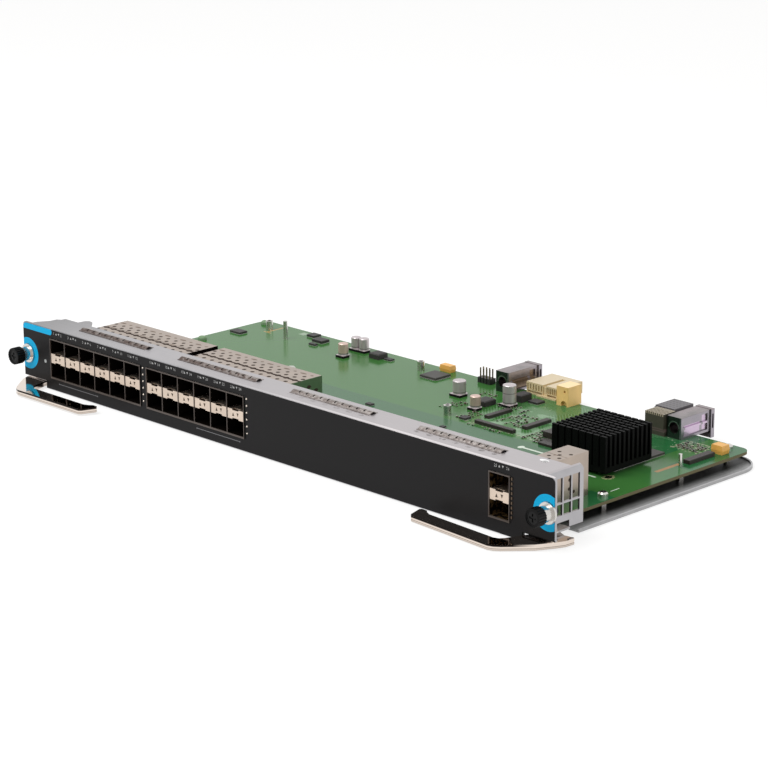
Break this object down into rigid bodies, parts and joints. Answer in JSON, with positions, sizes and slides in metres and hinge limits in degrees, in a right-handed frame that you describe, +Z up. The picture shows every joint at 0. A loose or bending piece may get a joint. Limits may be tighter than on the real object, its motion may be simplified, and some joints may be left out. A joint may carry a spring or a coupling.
{
  "type": "switch line card",
  "caption": "Plug-in network switch card with stacked pluggable ports behind a black front panel, ejector levers, captive screws and a bare circuit board on a tray.",
  "frame": {"origin": "centre of the tray's underside, on which the card rests", "axes": "+X along the front panel, +Y from the panel back to the backplane, +Z up"},
  "size_m": [0.44, 0.2221, 0.0399],
  "materials": {
    "panel_sheet": "bright galvanised sheet, faint grain",
    "tray_sheet": "galvanised sheet, satin",
    "overlay_film": "fine-textured printed film",
    "gasket_steel": "plated spring sheet",
    "rivet_steel": "plated",
    "board_laminate": "solder mask, semi-gloss",
    "standoff_steel": "plated, turned",
    "screw_steel": "plated",
    "post_brass": "plated, turned",
    "cage_steel": "warm nickel plating",
    "frame_steel": "nickel plating, bright",
    "connector_black": "moulded",
    "light_guide_clear": "clear moulding",
    "lever_steel": "polished nickel",
    "bracket_steel": "satin",
    "ferrule_steel": "plated, turned",
    "knob_black": "fluted, satin black",
    "captive_screw_steel": "dark plating",
    "spring_steel": "spring wire",
    "heat_sink_black": "black anodised",
    "chip_black": "moulded package with lid",
    "guide_module_metal": "die cast, plated",
    "signal_brown": "moulded",
    "shroud_grey": "moulded",
    "power_cream": "moulded",
    "capacitor_can": "drawn can, satin",
    "inductor_dark": "pressed powder",
    "tantalum_orange": "moulded",
    "header_black": "moulded base with plated pins",
    "filter_dark": "moulded"
  },
  "bodies": {
    "card": {"front_panel": "panel_sheet", "panel_overlay": "overlay_film", "bottom_tray": "tray_sheet", "gasket_strips": "gasket_steel", "tray_rivets": "rivet_steel", "circuit_board": "board_laminate", "board_standoffs": "standoff_steel", "board_screws": "screw_steel", "board_posts": "post_brass", "left_cage_shell": "cage_steel", "left_cage_floor": "cage_steel", "left_cage_shelves": "cage_steel", "left_cage_dividers": "cage_steel", "left_light_guides": "light_guide_clear", "left_port_connectors": "connector_black", "left_spring_frame": "frame_steel", "right_cage_shell": "cage_steel", "right_cage_floor": "cage_steel", "right_cage_shelves": "cage_steel", "right_cage_dividers": "cage_steel", "right_light_guides": "light_guide_clear", "right_port_connectors": "connector_black", "right_spring_frame": "frame_steel", "uplink_cage_shell": "cage_steel", "uplink_cage_floor": "cage_steel", "uplink_cage_shelves": "cage_steel", "uplink_light_guides": "light_guide_clear", "uplink_port_connectors": "connector_black", "uplink_spring_frame": "frame_steel", "left_ejector_bracket": "bracket_steel", "left_ejector_pivot": "bracket_steel", "left_screw_ferrule": "ferrule_steel", "left_screw_spring": "spring_steel", "left_guide_module": "guide_module_metal", "left_power_connector": "power_cream", "right_ejector_bracket": "bracket_steel", "right_ejector_pivot": "bracket_steel", "right_screw_ferrule": "ferrule_steel", "right_screw_spring": "spring_steel", "right_guide_module": "guide_module_metal", "right_power_connector": "power_cream", "heat_sink": "heat_sink_black", "switch_chip": "chip_black", "square_chip": "chip_black", "small_chips": "chip_black", "signal_connector": "signal_brown", "signal_connector_shroud": "shroud_grey", "can_capacitors": "capacitor_can", "power_inductors": "inductor_dark", "tantalum_capacitors": "tantalum_orange", "pin_header": "header_black", "filter_strips": "filter_dark"},
    "left_ejector": {"left_ejector": "lever_steel"},
    "right_ejector": {"right_ejector": "lever_steel"},
    "left_screw_slider": {"left_screw_washer": "ferrule_steel"},
    "right_screw_slider": {"right_screw_washer": "ferrule_steel"},
    "left_screw": {"left_captive_screw": "captive_screw_steel", "left_screw_knob": "knob_black"},
    "right_screw": {"right_captive_screw": "captive_screw_steel", "right_screw_knob": "knob_black"}
  },
  "joints": [
    {"name": "left_ejector_swing", "type": "hinge", "parent": "card", "child": "left_ejector", "pos_m": [-0.208, -0.0839, 0.0025], "axis": [0, 0, -1], "range_deg": [0, 60]},
    {"name": "right_ejector_swing", "type": "hinge", "parent": "card", "child": "right_ejector", "pos_m": [0.208, -0.0839, 0.0025], "axis": [0, 0, 1], "range_deg": [0, 60]},
    {"name": "left_screw_push", "type": "slide", "parent": "card", "child": "left_screw_slider", "axis": [0, 1, 0], "range_m": [0, 0.004], "stiffness_N_per_m": 600, "springref_m": -0.003, "deforming": ["left_screw_spring"]},
    {"name": "left_screw_turn", "type": "hinge", "parent": "left_screw_slider", "child": "left_screw", "pos_m": [-0.2142, -0.1019, 0.0191], "axis": [0, 1, 0], "continuous": true},
    {"name": "right_screw_push", "type": "slide", "parent": "card", "child": "right_screw_slider", "axis": [0, 1, 0], "range_m": [0, 0.004], "stiffness_N_per_m": 600, "springref_m": -0.003, "deforming": ["right_screw_spring"]},
    {"name": "right_screw_turn", "type": "hinge", "parent": "right_screw_slider", "child": "right_screw", "pos_m": [0.2142, -0.1019, 0.0191], "axis": [0, 1, 0], "continuous": true}
  ]
}
